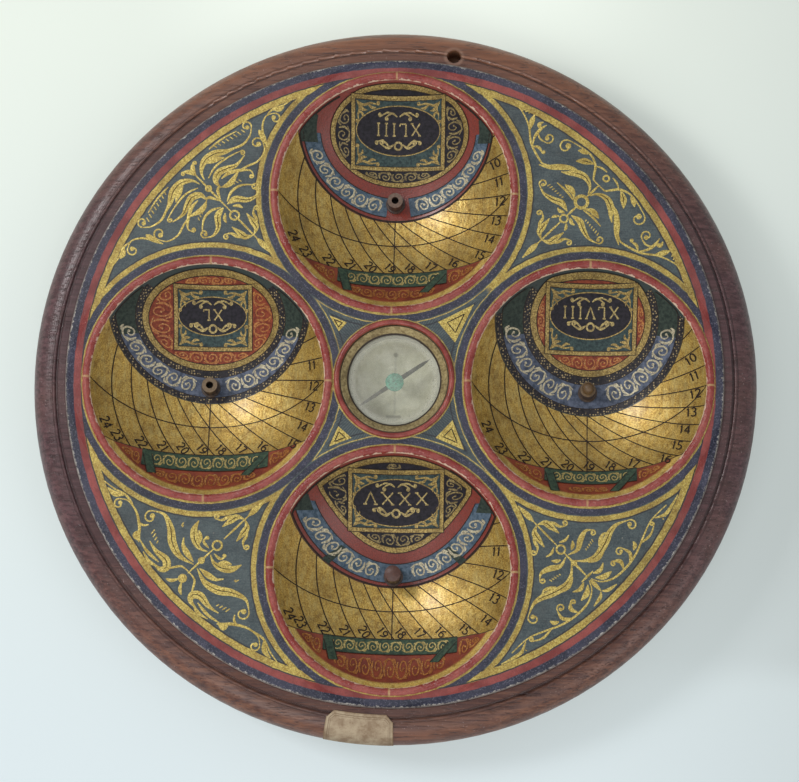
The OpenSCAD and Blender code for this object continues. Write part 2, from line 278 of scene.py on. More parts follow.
def painted_face():
    """The panel's painted bands, worked out from the distances to the bowls and to the middle."""
    s = Shader("painted_face")
    wobble = (s.noise(3, 2) - 0.5) * 0.5
    middle = s.away(0, 0)
    radius = middle + wobble
    ring = nearest_bowl(s) + wobble
    cloud = s.noise(7, 3, 0.6, 2)
    fine = s.noise(0.45, 2, 0.6, 7)
    brush = s.noise(0.5, 3, 0.6, 51, (7, 1, 1))
    s.colour = s.tones(cloud, 0.3, 0.7, (42, 54, 58), (66, 77, 78))
    s.lay(fine.rise(0.35, 0.7, 0, 0.5), 92, 100, 98)
    s.lay(brush.rise(0.48, 0.66, 0, 0.4), 30, 38, 46)
    weave = s.math("SINE", s.math("ARCTAN2", s.y, s.x) * 190)
    near = ring.band(42, 44.6, 0.3).either(radius.band(18, 22.4, 0.3))
    hatch = weave.rise(0.2, 0.9) * near * radius.rise(34, 38, 1, 0.25)
    s.lay(hatch * 0.75, 26, 36, 44)
    gold, leaf = gold_tone(s, 11)
    blue = s.tones(cloud, 0.3, 0.7, (20, 22, 40), (46, 46, 64))
    blue = s.mix(fine.rise(0.52, 0.7, 0, 0.55), blue, (108, 106, 122))
    red = s.tones(cloud, 0.35, 0.65, (112, 38, 34), (140, 64, 58))
    red = s.mix(fine.rise(0.45, 0.7, 0, 0.5), red, (100, 46, 48))
    dark = (32, 30, 36)
    broad = ring.band(40.95, 42.5) * radius.rise(38.6, 41.4)
    # Bands from the ground inwards to each bowl, then outwards to the panel's edge
    s.lay(ring.band(42.5, 42.9) * radius.fall(92.7, 93.1), *dark)
    s.lay(ring.band(41.0, 41.3, 0.08), gold)
    s.lay(broad, gold)
    s.lay(radius.band(92.65, 93.1), s.mix(ring.band(41.0, 42.4), dark, gold))
    s.lay(radius.band(93.1, 95.15), gold)
    s.lay(ring.fall(40.55, 40.75), *dark)
    s.lay(ring.fall(40.45, 40.6), blue)
    s.lay(ring.fall(38.5, 38.62), gold)
    s.lay(radius.band(18.3, 18.75, 0.08), gold)
    s.lay(radius.band(95.1, 95.45), *dark)
    s.lay(radius.rise(95.4, 95.6), red)
    s.lay(radius.rise(97.55, 97.8), blue)
    edge = middle + s.noise(1.1, 5, 0.8, 31) * 3.2
    s.lay(edge.rise(101.42, 101.62) * 0.85, 186, 180, 170)
    s.lay(middle.rise(99.85, 100.0, 0, 0.6), 70, 52, 48)
    spots = s.noise(0.9, 3, 0.6, 17).rise(0.68, 0.74)
    s.lay(spots * s.noise(14, 2, 0.5, 23).rise(0.42, 0.6) * 0.7, 168, 158, 140)
    s.lay(s.noise(18, 4, 0.7, 41).rise(0.5, 0.72, 0, 0.3), 40, 32, 28)
    metal = broad.either(radius.band(93.1, 95.15) * ring.rise(40.6, 40.9))
    return s.finish(fine.rise(0.3, 0.7, 0.34, 0.54), metal * 0.4, leaf * 0.6 + fine * 0.4, 0.17)


def red_lip(name):
    """A bowl's raised lip: worn red paint with painted highlights, gold at both edges and at four ticks.
    """
    s = Shader("red_lip_" + name)
    x, y = CENTRES[name]
    ring = s.away(x, y)
    cloud = s.noise(8, 3, 0.6, x)
    fine = s.noise(0.6, 3, 0.65, y)
    s.colour = s.tones(cloud, 0.36, 0.64, (128, 42, 34), (150, 72, 62))
    s.lay(fine.rise(0.42, 0.7, 0, 0.6), 104, 36, 36)
    # Pale pink spots: painted highlights on the bumpy lip
    s.lay(s.noise(1.1, 5, 0.75, x + 9).rise(0.58, 0.68, 0, 0.6), 186, 132, 124)
    gold, leaf = gold_tone(s, 4)
    wander = (s.noise(2.2, 3, 0.7, 6) - 0.5) * 1.1
    s.lay((ring + wander * 1.6).fall(35.75, 35.95) * 0.9, 204, 180, 156)
    s.lay((ring + wander * 0.5).rise(37.95, 38.1), gold)
    across = abs(s.x - x).least(abs(s.y - y))
    s.lay((across + wander * 0.3).fall(0.22, 0.42) * 0.64, 176, 146, 96)
    return s.finish(cloud.rise(0.3, 0.7, 0.22, 0.40), 0, fine + leaf, 0.13)


def gilt(name):
    """A bowl's gilt hollow: dark scribed lines, and the painted zones beyond the two tropics."""
    s = Shader("gilt_" + name)
    x, y = CENTRES[name]
    latitude = LATITUDES[name]
    from_nodus = s.vector("SUBTRACT", s.place, (x, y, FACE_Z))
    from_centre = s.vector("SUBTRACT", s.place, (x, y, FACE_Z - DEPTH + CAP_R))
    pole = (0, cosine(latitude), -sine(latitude))
    climb = s.vector("DOT_PRODUCT", s.vector("NORMALIZE", from_nodus), pole)
    leaf = s.noise(0.42, 4, 0.65, x)
    cloud = s.noise(9, 5, 0.66, y)
    brushed = s.noise(1.3, 4, 0.7, x + 5, (1, 3.5, 1))
    mottle = s.noise(2.4, 6, 0.78, x + 17)
    s.colour = s.tones(leaf, 0.3, 0.7, (146, 110, 42), (212, 178, 92))
    s.lay(brushed.rise(0.4, 0.7, 0, 0.5), 200, 182, 118)
    s.lay(mottle.rise(0.50, 0.64, 0, 0.55), 112, 78, 30)
    s.lay(cloud.rise(0.42, 0.7, 0, 0.5), 108, 80, 32)
    s.lay(s.noise(0.5, 3, 0.6, 13).rise(0.64, 0.72) * 0.55, 72, 48, 26)
    winter = s.tones(cloud, 0.35, 0.65, (104, 38, 26), (138, 62, 36))
    winter = s.tones(s.away(x, y), 33.6, 34.4, winter, s.colour)
    red_summer = name in ("top", "bottom")
    summer = ((128, 46, 32), (94, 36, 28)) if red_summer else ((44, 56, 54), (33.5, 43.4, 41.7))
    limit = sine(OBLIQUITY)
    climb = climb + (s.noise(4, 2) - 0.5) * 0.012
    s.lay(climb.fall(-limit - 0.004, -limit + 0.004), winter)
    s.lay(climb.rise(limit - 0.004, limit + 0.004), s.tones(leaf, 0.3, 0.7, *summer))
    ink = s.vector("LENGTH", from_centre).rise(CAP_R + 0.015, CAP_R + 0.06)
    lines = ink.either(abs(climb).band(limit - 0.006, limit + 0.002, 0.002))
    s.lay(lines * 0.95, 34, 20, 14)
    golden = abs(climb).fall(limit - 0.004, limit + 0.004) * (1 - lines)
    s.surface.inputs["Coat Weight"].default_value = 0.3
    s.surface.inputs["Coat Roughness"].default_value = 0.24
    return s.finish(brushed.rise(0.3, 0.7, 0.42, 0.30), golden * 0.6, leaf + brushed * 1.5, 0.10)


def gold_paint(name, low, high, metal=0.3):
    """Shell gold laid on with a brush, thin in places, with small painted highlights."""
    s = Shader(name)
    leaf = s.noise(0.5, 4, 0.7)
    s.colour = s.tones(leaf, 0.36, 0.64, low, high)
    s.lay(s.noise(4, 3, 0.6, 5).rise(0.45, 0.7, 0, 0.6), *low)
    # Painted highlights: pale specks on the gold
    s.lay(s.noise(0.36, 2, 0.5, 27).rise(0.60, 0.70) * 0.35, 238, 224, 164)
    return s.finish(leaf.rise(0.3, 0.7, 0.5, 0.36), metal, leaf, 0.08)


def body_colour(name, low, high, size=1, rough=0.62, dots=None):
    """Distemper or ink in two tones, with dots of gold where asked."""
    s = Shader(name)
    grain = s.noise(size, 4, 0.65)
    s.colour = s.tones(grain, 0.32, 0.68, low, high)
    if dots:
        inputs = {"Vector": s.place, "Scale": 1 / 0.8, "Randomness": 0.5}
        spots = s.node("TexVoronoi", inputs, "Distance").fall(0.24, 0.38)
        s.lay(spots * s.noise(3, 2, 0.5, 8).rise(0.3, 0.6, 0.35, 1), *dots)
    return s.finish(rough, 0, grain, 0.05, 0.3)


def compass_glass():
    """Old cloudy glass, with dark specks round its edge."""
    s = Shader("old_glass")
    radius = s.away(0, 0)
    haze = s.noise(6, 4, 0.6)
    rim = s.noise(0.55, 2, 0.5, 4).rise(0.66, 0.72) * radius.rise(9.5, 13)
    s.colour = s.tones(haze, 0.35, 0.7, (222, 220, 206), (234, 232, 220))
    s.lay(radius.rise(11.5, 14.2, 0, 0.5), 150, 150, 130)
    s.lay(rim * 0.8, 70, 66, 54)
    s.finish(0.18, 0, haze, 0.02)
    clear = s.node("BsdfTransparent", (rgb(246, 246, 242),))
    cover = haze.rise(0.3, 0.7, 0.05, 0.16).either(rim * 0.9)
    cover = cover.either(radius.rise(11, 14.5, 0.1, 0.5))
    blend = s.node("MixShader", (cover, clear, Value(s, s.surface.outputs[0])))
    s.feed(s.tree.nodes["Material Output"].inputs["Surface"], blend)
    return s.material


def compass_card():
    """Pale card with a faint noon line and a small bar at its foot."""
    s = Shader("compass_card")
    paper = s.noise(1.2, 4, 0.6)
    s.colour = s.tones(paper, 0.35, 0.65, (222, 222, 204), (238, 238, 224))
    s.lay(s.x.band(-0.35, 0.35, 0.25) * s.y.band(-9, 10, 0.5) * 0.3, 110, 112, 104)
    bar = s.x.band(-2.6, 2, 0.3) * s.y.band(-10.2, -9.3, 0.25)
    s.lay(bar.either(s.away(0, 9.6).fall(0.4, 1)) * 0.6, 84, 84, 80)
    return s.finish(0.7, 0, paper, 0.03)


def old_ring():
    """Dull mottled gilt, with painted shade in the gap to the bezel at its outer edge and a dark line at
    its inner edge.
    """
    s = Shader("gilt_ring")
    radius = s.away(0, 0)
    leaf = s.noise(0.8, 5, 0.7)
    s.colour = s.tones(leaf, 0.3, 0.7, (108, 90, 54), (176, 158, 112))
    s.lay(s.noise(5, 3, 0.6, 3).rise(0.45, 0.7, 0, 0.6), 92, 76, 48)
    # Painted shade at the outer edge, in the gap to the bezel, and a dark line at the inner edge
    s.lay(radius.fall(14.3, 14.55).either(radius.rise(16.2, 16.45)), 50, 40, 32)
    return s.finish(0.5, 0.35, leaf, 0.08)


def bezel_red():
    s = Shader("bezel_red")
    fine = s.noise(0.5, 3, 0.6)
    s.colour = s.tones(s.noise(5, 3, 0.6, 2), 0.35, 0.65, (116, 40, 34), (150, 72, 62))
    s.lay(fine.rise(0.5, 0.7, 0, 0.6), 98, 38, 34)
    return s.finish(0.24, 0, fine, 0.12)


def worn_wood(name, low, high, tip):
    """Turned wood painted lighter towards the top, a painted highlight on the tops of the feet and pins.
    """
    s = Shader(name)
    grain = s.noise(0.9, 4, 0.65, 0, (1, 1, 4))
    s.colour = s.tones(grain, 0.3, 0.7, low, high)
    # Painted highlight towards the top
    painted_top_light = (s.z + s.noise(0.8, 3, 0.6, 4) * 1.6).rise(13.7, 14.4)
    s.lay(painted_top_light * 0.55, *tip)
    return s.finish(0.45, 0, grain, 0.12)


def verdigris():
    s = Shader("verdigris")
    crust = s.noise(0.8, 5, 0.75)
    s.colour = s.tones(crust, 0.35, 0.65, (44, 122, 112), (104, 188, 170))
    s.lay(s.noise(0.5, 2, 0.5, 6).rise(0.62, 0.7), 36, 54, 54)
    return s.finish(0.6, 0.1, crust, 0.15)


def stained_metal(name, spots, low, dark, light, metal, depth):
    s = Shader(name)
    stain = s.noise(spots, 4, 0.7)
    s.colour = s.tones(stain, low, 0.7, dark, light)
    return s.finish(0.42, metal, stain, depth)


def label_paper():
    """Stained blank label with a thin double border."""
    s = Shader("label_paper")
    turned = s.math("ARCTAN2", s.y, s.x) - math.radians(LABEL_ANGLE)
    fibre = s.noise(0.5, 3, 0.6)
    s.colour = s.tones(s.noise(4, 4, 0.65), 0.35, 0.68, (168, 150, 124), (130, 108, 84))
    s.lay(fibre.rise(0.55, 0.75, 0, 0.4), 128, 102, 68)
    start = s.away(0, 0) - LABEL_START
    side = LABEL_WIDTH / 2 - abs(turned * RIM_R)
    inset = side.least(start).least((side + start) * 0.72 - 1.5)
    lines = inset.band(0.85, 1.1, 0.08).either(inset.band(1.45, 1.6, 0.06))
    s.lay(lines * 0.6, 96, 74, 48)
    s.lay(inset.fall(0, 0.5, 0.6), 112, 88, 58)
    return s.finish(0.75, 0, fibre, 0.05)


GOLD = gold_paint("gold_paint", (142, 116, 50), (222, 200, 114), 0.45)
PALE_GOLD = gold_paint("pale_gold", (124, 106, 62), (196, 176, 110))
# Darker gold inside the bowls: antique brownish gold, and painted shade where the bowls' upper walls lie
# in shadow
ANTIQUE_SHADED_GOLD = gold_paint("antique_shaded_gold", (98, 78, 40), (174, 148, 84), 0.4)
NUMERAL_GOLD = gold_paint("numeral_gold", (108, 90, 52), (176, 156, 98))
DIM_GOLD = gold_paint("dim_gold", (84, 70, 44), (150, 130, 82))
RIBBON_GOLD = gold_paint("ribbon_gold", (124, 114, 94), (200, 190, 160), 0.2)
RUST_GOLD = gold_paint("rust_gold", (124, 66, 30), (178, 118, 56), 0.2)
INK = body_colour("ink", (22, 16, 14), (46, 32, 24), 0.6)
BLACK = body_colour("black_ground", (12, 10, 16), (36, 32, 40))
RED_GROUND = body_colour("red_ground", (90, 34, 24), (134, 62, 38))
BLUE_GREEN = body_colour("blue_green", (28, 42, 44), (58, 74, 72), 0.9)
RIBBON = body_colour("ribbon_blue", (48, 66, 80), (86, 101, 116), 1.2)
GREEN = body_colour("ribbon_green", (34, 50, 42), (62, 80, 62))
DARK_GREEN = body_colour("dark_green", (28, 38, 34), (52, 62, 54))
SMOKE = body_colour("ribbon_smoke", (48, 56, 70), (90, 97, 114), 1.6)
DOTTED = body_colour("dotted_border", (22, 20, 24), (46, 42, 44), 0.9, 0.5, (156, 136, 98))


def add_object(name, data):
    added = bpy.data.objects.new(name, data)
    bpy.context.scene.collection.objects.link(added)
    return added


# Thin painted sheets


class Paint:
    """Collects closed thin sheets of one paint into one mesh. They are laid at the height
    lift above the surface on which put places a point."""

    THICK = 0.03

    def __init__(self, name, material):
        self.name = name
        self.material = material
        self.slot = "gilt_gesso" if "gold" in material.name else "painted_face"
        self.points = []
        self.faces = []

    def sheet(self, rows, put, lift, loop=False, crown=0):
        """A sheet through rows of plan points, its middle column raised by crown."""
        columns = len(rows[0])
        first = len(self.points)
        for row in rows:
            for k, (x, y) in enumerate(row):
                raised = crown * (1 - abs(2 * k / (columns - 1) - 1))
                self.points += [put(x, y, lift + self.THICK + raised), put(x, y, lift)]

        def at(i, k, low):
            return first + 2 * ((i % len(rows)) * columns + k) + low

        def wall(i, k, j, m):
            self.faces.append((at(i, k, 0), at(j, m, 0), at(j, m, 1), at(i, k, 1)))

        for i in range(len(rows) if loop else len(rows) - 1):
            for k in range(columns - 1):
                upper = [at(i, k, 0), at(i, k + 1, 0), at(i + 1, k + 1, 0), at(i + 1, k, 0)]
                lower = [at(i, k, 1), at(i + 1, k, 1), at(i + 1, k + 1, 1), at(i, k + 1, 1)]
                self.faces += [upper, lower]
            for k in (0, columns - 1):
                wall(i, k, i + 1, k)
        if not loop:
            for i in (0, len(rows) - 1):
                for k in range(columns - 1):
                    wall(i, k, i, k + 1)

    def fill(self, centre, outline, put, lift, rings):
        """A sheet inside a closed outline that can all be seen from its centre."""
        first = len(self.points)
        count = len(outline)
        spots = [centre]
        for ring in range(1, rings + 1):
            spots += [between(centre, spot, ring / rings) for spot in outline]
        for spot in spots:
            self.points += [put(*spot, lift + self.THICK), put(*spot, lift)]

        def at(ring, k, low):
            return first + 2 + 2 * ((ring - 1) * count + k % count) + low

        for k in range(count):
            self.faces.append((first, at(1, k, 0), at(1, k + 1, 0)))
            self.faces.append((first + 1, at(1, k + 1, 1), at(1, k, 1)))
            for ring in range(1, rings):
                for low in (0, 1):
                    near = [at(ring, k, low), at(ring + 1, k, low)]
                    self.faces.append(near + [at(ring + 1, k + 1, low), at(ring, k + 1, low)])
            near = [at(rings, k, 0), at(rings, k, 1)]
            self.faces.append(near + [at(rings, k + 1, 1), at(rings, k + 1, 0)])

    def stroke(self, points, widths, put, lift, crown=0):
        """A brush stroke along plan points, of one width or of a width at each point."""
        if not isinstance(widths, list):
            widths = [widths] * len(points)
        left, right = sides(points, widths)
        self.sheet(list(zip(left, points, right)), put, lift, False, crown)

    def scroll(self, points, width, fat, hook, put, lift):
        """A smooth tapering stroke, with a spiral and a bud at its end where hook is not nought."""
        line = smooth(points)
        widths = swell(len(line), width, fat)
        if hook:
            line = hooked(line, hook)
            widths += [0.48] * (len(line) - len(widths))
            self.dot(*line[-1], 0.35 * abs(hook) + 0.12, put, lift + 0.01)
        self.stroke(line, widths, put, lift, 0.03)

    def dot(self, x, y, radius, put, lift):
        self.fill((x, y), circle(x, y, radius, count=10)[:-1], put, lift, 1)

    def build(self):
        mesh = bpy.data.meshes.new(self.name)
        mesh.from_pydata(self.points, [], self.faces)
        shape = bmesh.new()
        shape.from_mesh(mesh)
        bmesh.ops.recalc_face_normals(shape, faces=shape.faces)
        shape.to_mesh(mesh)
        shape.free()
        mesh.materials.append(self.material)
        piece = add_object(self.name, mesh)
        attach(piece, "dial")


def spread(start, end, count):
    """Numbers from start to end in equal steps."""
    return [start + (end - start) * k / count for k in range(count + 1)]


def between(a, b, t):
    """The point at share t of the way from one point to another."""
    return a[0] + (b[0] - a[0]) * t, a[1] + (b[1] - a[1]) * t


def sides(points, widths):
    """Points to the left and right of a line, half a width away."""
    left, right = [], []
    for k, (x, y) in enumerate(points):
        before = points[max(0, k - 1)]
        after = points[min(len(points) - 1, k + 1)]
        dx, dy = after[0] - before[0], after[1] - before[1]
        length = math.hypot(dx, dy) or 1.0
        half = widths[k] / 2
        left.append((x - dy / length * half, y + dx / length * half))
        right.append((x + dy / length * half, y - dx / length * half))
    return left, right


def swell(count, width, fat):
    """Widths of a brush stroke that is fattest at the share fat of its length."""
    thin = min(0.32, width * 0.6)
    widths = []
    for share in spread(0, 1, count - 1):
        turn = share / fat * 0.5 if share < fat else 0.5 + (share - fat) / (1 - fat) * 0.5
        widths.append(thin + (width - thin) * math.sin(math.pi * turn) ** 1.6)
    return widths


def smooth(points, step=0.45):
    """A smooth line through points."""
    ends = [points[0], *points, points[-1]]
    line = [points[0]]
    for a, b, c, d in zip(ends, ends[1:], ends[2:], ends[3:]):
        count = max(2, round(math.dist(b, c) / step))
        for t in spread(0, 1, count)[1:]:
            spot = []
            for i in (0, 1):
                straight = 2 * b[i] + (c[i] - a[i]) * t
                bent = (2 * a[i] - 5 * b[i] + 4 * c[i] - d[i]) * t ** 2
                late = (3 * b[i] - a[i] - 3 * c[i] + d[i]) * t ** 3
                spot.append((straight + bent + late) / 2)
            line.append(tuple(spot))
    return line


def hooked(line, radius):
    """The line with a spiral at its end, which turns left for a radius above nought."""
    (x0, y0), (x, y) = line[-2:]
    heading = math.degrees(math.atan2(y - y0, x - x0))
    whole, turn = 330, 24
    lean = turn / 2 if radius > 0 else -turn / 2
    spiral = []
    for turned in range(0, whole, turn):
        step = 2 * abs(radius) * (1 - 0.68 * turned / whole) * sine(turn / 2)
        heading += lean
        x += cosine(heading) * step
        y += sine(heading) * step
        heading += lean
        spiral.append((x, y))
    return line + spiral


def circle(x, y, radius, start=0, end=360, count=20, tall=None):
    tall = radius if tall is None else tall
    return [(x + radius * cosine(a), y + tall * sine(a)) for a in spread(start, end, count)]


def on_face(x, y, lift):
    return x * MM, y * MM, (FACE_Z + lift) * MM


def on_bowl(name):
    """Puts plan points of a bowl, from its centre, on its hollow."""
    centre_x, centre_y = CENTRES[name]

    def put(x, y, lift):
        drop = math.sqrt(max(0.0, (CAP_R - lift) ** 2 - x * x - y * y))
        return (centre_x + x) * MM, (centre_y + y) * MM, (FACE_Z - DEPTH + CAP_R - drop) * MM

    return put


def spun(put, angle, x0=0, y0=0):
    """The same placing, for plan points turned by an angle and moved."""

    def turned(x, y, lift):
        across = x * cosine(angle) - y * sine(angle)
        along = x * sine(angle) + y * cosine(angle)
        return put(x0 + across, y0 + along, lift)

    return turned


def mirror(put):
    """The same placing with left and right changed over."""
    return lambda x, y, lift: put(-x, y, lift)


def strokes(text):
    """Strokes of a brush, each written as its width, where it is fattest, the radius of the
    spiral at its end, and then its points."""
    found = []
    for line in text.strip().splitlines():
        pen, points = line.split(":")
        path = [tuple(float(v) for v in point.split(",")) for point in points.split()]
        found.append((path, *(float(v) for v in pen.split())))
    return found


# One scroll of a running ornament, in shares of the way along its band and across it
VOLUTE = strokes("""
1 0.3 0: -0.5,-0.3 -0.15,-0.46 0.2,-0.38 0.38,-0.02 0.22,0.34 -0.06,0.32 -0.16,0.04 0,-0.12 0.12,0.02
1.5 0.5 0: 0.14,-0.42 0.34,-0.44 0.5,-0.2
1.4 0.5 0: -0.2,-0.42 -0.42,-0.08 -0.34,0.34
""")


def running_scroll(paint, band, put, pitch, pen, lift):
    """Scrolls that turn up and down by turns along a band, given by pairs of points across it."""
    ways = [0.0]
    for (a, b), (c, d) in zip(band, band[1:]):
        ways.append(ways[-1] + math.dist(between(a, b, 0.5), between(c, d, 0.5)))

    def spot(way, share):
        k = min(max(bisect.bisect(ways, way), 1), len(ways) - 1)
        t = (way - ways[k - 1]) / (ways[k] - ways[k - 1])
        return between(*(between(p, q, t) for p, q in zip(band[k - 1], band[k])), share)

    count = max(1, round(ways[-1] / pitch))
    for k in range(count):
        middle = (k + 0.5) * ways[-1] / count
        if math.dist(spot(middle, 0), spot(middle, 1)) < 1.2:
            continue
        side = 1 if k % 2 else -1
        for shape, width, fat, hook in VOLUTE:
            line = [spot(middle + x * ways[-1] / count, 0.5 + y * side) for x, y in smooth(shape, 0.12)]
            paint.stroke(line, swell(len(line), width * pen, fat), put, lift)
        paint.dot(*spot(middle + 0.12 * ways[-1] / count, 0.5 + 0.02 * side), pen * 0.7, put, lift + 0.01)


# Scrollwork of the four corners of the face: strokes of the right half of each corner,
# whose middle line runs outwards at the angle given. All four begin with the tulip.
TULIP = """
1.5 0.6 0: 0,54.2 0,57.5 0,61
0.5 0.5 0: 0,61 0,66 0,71
1.7 0.45 0: 0.2,62.4 2.2,63.6 2.7,66 3.1,68.8
0.8 0.5 -0.9: 2.6,63.6 4,65.4 4.6,67.4 5.9,68.4
"""
CORNERS = {
    135: strokes(TULIP + """\
0.5 0.5 0: 0,72 0,80 0,87 0,91
1.7 0.25 1.3: 0.8,75 3.8,74.4 6.3,71.6 9.1,70.8 11.2,71.9
0.7 0.3 0: 1.3,75.6 4,76.9 7,76.8 9.4,75.3 11,73.4
0.9 0.5 0: 1.6,73.4 3,72.2 3.4,70.9
0.8 0.6 0: 0.3,77.6 1.6,80.2 3.1,80.9
1.9 0.3 0: 2.9,80.2 3.2,82.8 5.6,84.1 8.4,83.3 11.3,82.1 15.2,82.6
1.5 0.4 0: 3.1,80.2 6,79.2 10.6,80.3
1 0.3 -0.7: 5,82.1 8,81.8 11.3,79.8 13.2,77.8 12.9,76.2
0.5 0.3 1.9: 9.8,80.4 13.4,79.5 16.8,78.4 20.4,79.2 22.1,81.6
0.5 0.3 -0.8: 2.2,85 6.3,86.2 11.3,85.6 15.4,84.4
2.1 0.5 0: 1,85.6 2,88 4.9,89.8 8.6,89.4 12,87.4 15.6,86
1.3 0.5 0: 5.2,88.6 8.6,87.4 10.2,86.4
0.6 0.3 1.6: 13,87.2 17,85.5 20.6,86 22.8,87.6
0.5 0.3 0: 8.6,91.6 13.5,91.2 18.6,89.9
1.2 0.6 -0.6: 0.2,88.6 0.8,90.6 2,91.8
1.4 0.75 0: 22,79.6 23.2,82.6 23.8,85.4
0.5 0.3 -1.7: 22.8,81.6 25.2,85.2 28.2,87 30.6,86.2
0.5 0.3 0: 28.6,87 31.5,87.2 34.6,85.9 37.8,85.3
1.1 0.5 0: 31.4,87 33,85.6 34.6,85.4
"""),
    45: strokes(TULIP + """\
0.6 0.5 0: 0,73.4 0,77.2
0.6 0.5 0: 0,81.6 0,86.8
1.7 0.3 1.3: 0.9,74.2 3.9,74.8 6.4,73.8 9.8,73 12.6,73.8
1 0.5 0: 1.2,73.4 2.8,72.6 3.8,73
0.8 0.5 0: 1.6,71.4 2.6,70.2 2.8,69.4
1.5 0.6 0: 2.2,78.4 4.4,79.8 7.4,79.6
0.6 0.4 0: 2.2,78 5.5,78.5 9.6,78.3
1.9 0.62 0: 0.4,82.6 1.6,84.6 4.6,85.7 7.6,84.6 9.6,82.6 11.2,81.6
1.6 0.55 0: 6,85.2 9,85 12,82.8 15,79.8 17.6,78.2
0.55 0.3 0: 13.8,81.4 16.4,79.6 18.2,79.4 23.9,81.2 28.6,84.6 34,86.4 38.4,85.6
1.4 0.6 0: 27.2,83.4 28.6,85.8 29.8,88.2
0.8 0.6 0: 23.2,81 24.8,83.6 25.2,86.6 24.8,88.6
0.5 0.4 -1.7: 24.9,85 23.2,84.2 21.2,84.6
1.1 0.5 0: 25,86.4 26.6,87.2 26.2,88.6
0.8 0.5 -0.5: 23,81 21.4,82 19.6,81.6
0.6 0.3 -2.2: 0,86.9 2.4,87 3.6,88.4 5.4,90.6 8.6,91.8 12.4,91.4 16.2,90.4
1.7 0.55 0: 5.8,90.6 8.4,89.2 10.4,87.2
1.3 0.5 0: 9.4,91.4 11.2,90.8 12.4,90
0.5 0.5 0: 1.2,91.6 3.2,91.4 4.8,90.6
"""),
    225: strokes(TULIP + """\
0.5 0.5 0: 0,75.2 0,86
2 0.6 0: 0.6,77.2 3.2,78.2 6,77.5 8.4,75.4 9.4,72.6
0.7 0.5 -0.5: 1.2,76.2 3.6,76 4.2,74.6
1.2 0.5 0: 4,78 5.4,75.8 7.2,74.6
1.5 0.4 0: 1.4,82.4 4.6,82 7.2,81.2 8.8,79.4
2.2 0.45 2: 0.8,82.9 5.6,84.2 10,83 13.6,80.4 17.9,78.9 21.2,80.6
1.2 0.5 0: 8.6,84.2 10.4,82.4 10.8,80.9
0.55 0.5 0: 0,85.5 2.8,85.9 4.4,88 5.8,90.2
2.1 0.4 0: 9.6,91.4 6.8,91.2 5.8,89.6 7.6,88 11.6,88.3 15.2,87.6
0.9 0.3 0: 8.6,91.6 11.2,91.9 14.2,91.2
0.8 0.4 0: 8.6,90 13.4,90.3 17.6,89.4
0.8 0.1 1.6: 17.2,90.2 18.8,88.8 20.6,86.8 24.6,84.4 28.6,83.9 30.8,85.2
1.3 0.5 0: 17.8,90 19.6,89.6 20,88.2
0.55 0.3 0: 24.8,84.4 30,83.2 34.4,84.4 38.2,85
1.4 0.5 0: 30.8,83.6 33.2,85.4 36,85.6
0.9 0.6 0: 0.6,89 1.8,91 3.4,91.9
0.6 0.5 0: 19,84.4 20.2,85.8 22,86
"""),
    315: strokes(TULIP + """\
0.6 0.5 0: 0,74.2 0,84
1.1 0.4 0: 0,85.4 0,90
1.5 0.5 0.9: 0.5,75.4 3.6,76.2 6.4,74.6 9.3,73.8 11,75
1 0.5 0: 2.2,75 3.6,74.2 4.4,73.2
0.7 0.5 0: 1.1,70.8 3,71.6 4.8,71.2
1.9 0.5 1.7: 0.3,77.6 2.9,80.2 6.4,81.5 10.7,80.6 14.3,79.2 17.4,78.9 21,80.4
0.8 0.4 0: 3.2,81.2 6.4,82.6 9.6,81.8
1 0.4 0: 9,79.8 12,78.2 13.6,78.6
0.6 0.5 0: -2.4,84.1 2.4,84.1
1.1 0.4 0: 2,84.6 4.2,85.4 6.4,84.4
1.5 0.55 0: 1.6,86 3.6,87.6 6.4,88
0.55 0.3 0: 0.4,85.4 2.1,88.2 5.7,90 10.7,90.2 15.7,89.2 20.4,87.2 25.8,85.2 32.4,85
0.9 0.5 -1.3: 12,90.1 14.2,88 13.6,85.2
1.1 0.6 -0.8: 9.4,90.2 10.4,87.8 9,86.2
1.1 0.5 0: 15.6,88 17,87.2 17.4,86
0.6 0.4 -0.7: 18.6,88 22.4,88.2 25.4,86.8
0.9 0.4 0: 0.2,90.2 1.6,91.3 4.8,91.9
0.9 0.4 0: 27,85.4 30.2,86.8 33.6,86.2 37,85.2
"""),
}
# Height on the middle line, radius and pen width of the rings in each corner
CORNER_RINGS = {
    135: ((70.9, 1.4, 0.6), (82.6, 0.8, 0.6)),
    45: ((71.9, 1.2, 0.6), (79.4, 1.9, 1.0), (90.0, 0.9, 0.6)),
    225: ((73.8, 1.4, 0.6), (80.4, 0.5, 1.1), (88.2, 0.7, 1.3)),
    315: ((72.7, 1.3, 0.6), (78.6, 0.5, 0.6)),
}
# First place, last place, count and greatest length of the rows of short ticks
CORNER_TICKS = {
    135: (((10.5, 91.2), (20.0, 89.2), 8, 1.5), ((5.6, 79.0), (8.6, 78.2), 4, 1.0)),
    45: (((5.0, 76.6), (10.6, 76.4), 7, 1.0), ((31.2, 87.8), (33.2, 87.4), 3, 0.9)),
    225: (((13.2, 86.6), (16.4, 85.8), 4, 1.6), ((11.4, 77.6), (11.9, 77.5), 2, 1.2)),
    315: (((5.4, 78.2), (8.6, 77.8), 5, 0.9), ((28.6, 87.6), (32.0, 87.0), 4, 0.9)),
}


